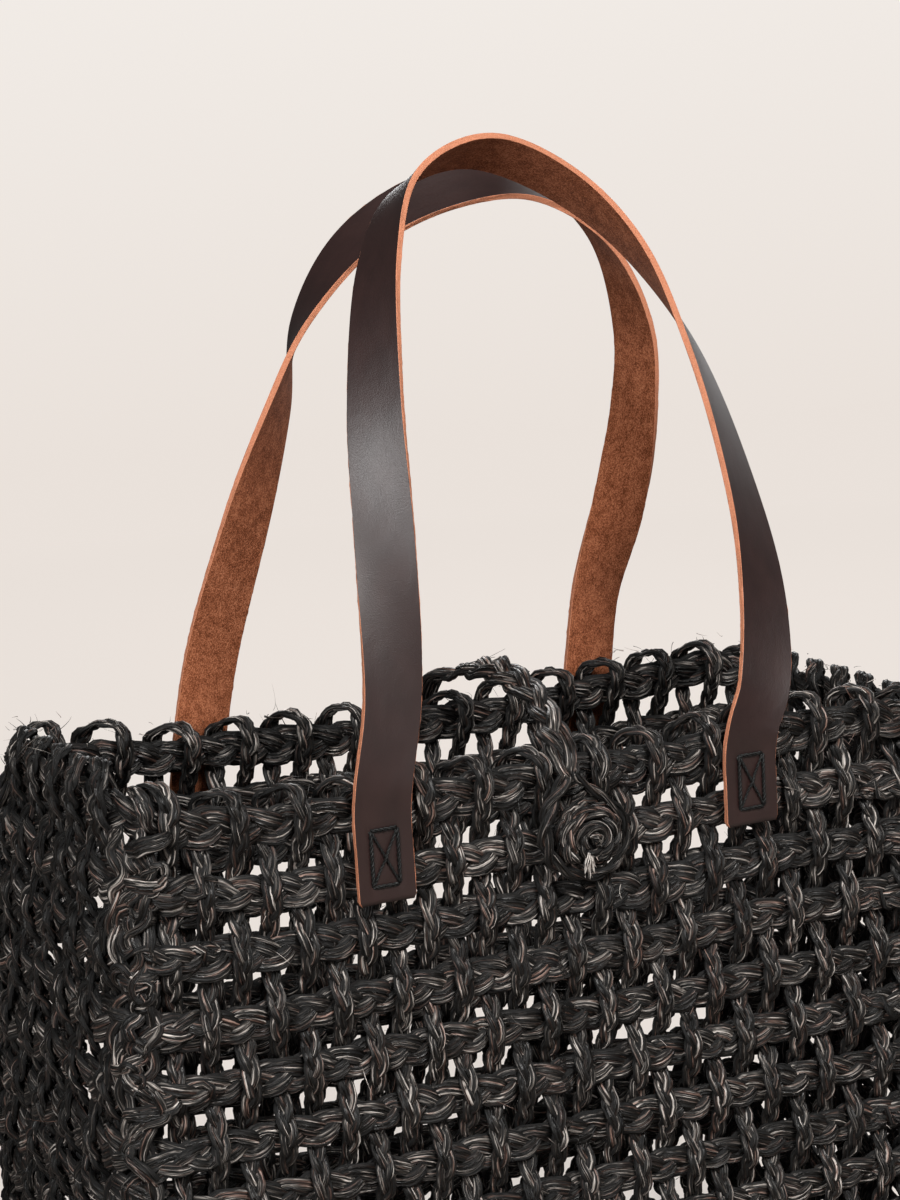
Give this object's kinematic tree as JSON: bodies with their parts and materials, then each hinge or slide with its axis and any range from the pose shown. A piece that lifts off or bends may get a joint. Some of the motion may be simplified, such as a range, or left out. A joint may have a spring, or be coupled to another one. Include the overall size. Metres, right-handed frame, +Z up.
{
  "type": "woven grass tote bag",
  "caption": "Open-weave tote bag of black plaited grass, with two leather strap handles that swing and a braided loop that hooks over a coiled button.",
  "frame": {"origin": "on the floor, under the middle of the bag's mouth", "axes": "+Z up, front with the rosette button faces -Y, +X to the right seen from the front"},
  "size_m": [0.4243, 0.2363, 0.5726],
  "materials": {
    "grass": "dyed grass plait, satin fibres",
    "leather": "smooth grain outside, tan suede inside, raw edges",
    "thread": "waxed thread"
  },
  "bodies": {
    "bag": {"rim_braid": "grass", "weft_braid_01": "grass", "weft_braid_02": "grass", "weft_braid_03": "grass", "weft_braid_04": "grass", "weft_braid_05": "grass", "weft_braid_06": "grass", "weft_braid_07": "grass", "weft_braid_08": "grass", "weft_braid_09": "grass", "weft_braid_10": "grass", "weft_braid_11": "grass", "warp_braid_01": "grass", "warp_braid_02": "grass", "warp_braid_03": "grass", "warp_braid_04": "grass", "warp_braid_05": "grass", "warp_braid_06": "grass", "warp_braid_07": "grass", "warp_braid_08": "grass", "warp_braid_09": "grass", "warp_braid_10": "grass", "warp_braid_11": "grass", "warp_braid_12": "grass", "warp_braid_13": "grass", "warp_braid_14": "grass", "end_warp_braid_01": "grass", "end_warp_braid_02": "grass", "end_warp_braid_03": "grass", "end_warp_braid_04": "grass", "end_warp_braid_05": "grass", "front_left_tab": "leather", "front_left_stitch": "thread", "front_right_tab": "leather", "front_right_stitch": "thread", "back_left_tab": "leather", "back_left_stitch": "thread", "back_right_tab": "leather", "back_right_stitch": "thread", "rosette_button": "grass", "closing_loop_band": "grass"},
    "front_handle": {"front_handle_strap": "leather"},
    "back_handle": {"back_handle_strap": "leather"},
    "loop_eye": {"closing_loop_eye": "grass"}
  },
  "joints": [
    {"name": "front_handle_swing", "type": "hinge", "parent": "bag", "child": "front_handle", "pos_m": [0.006, -0.08177, 0.304], "axis": [1, 0, 0], "range_deg": [0, 150]},
    {"name": "back_handle_swing", "type": "hinge", "parent": "bag", "child": "back_handle", "pos_m": [-0.0085, 0.08778, 0.2794], "axis": [-1, 0, 0], "range_deg": [0, 150]},
    {"name": "loop_eye_swing", "type": "hinge", "parent": "bag", "child": "loop_eye", "pos_m": [0.011, -0.08341, 0.30585], "axis": [-1, 0, 0], "range_deg": [0, 120]}
  ]
}
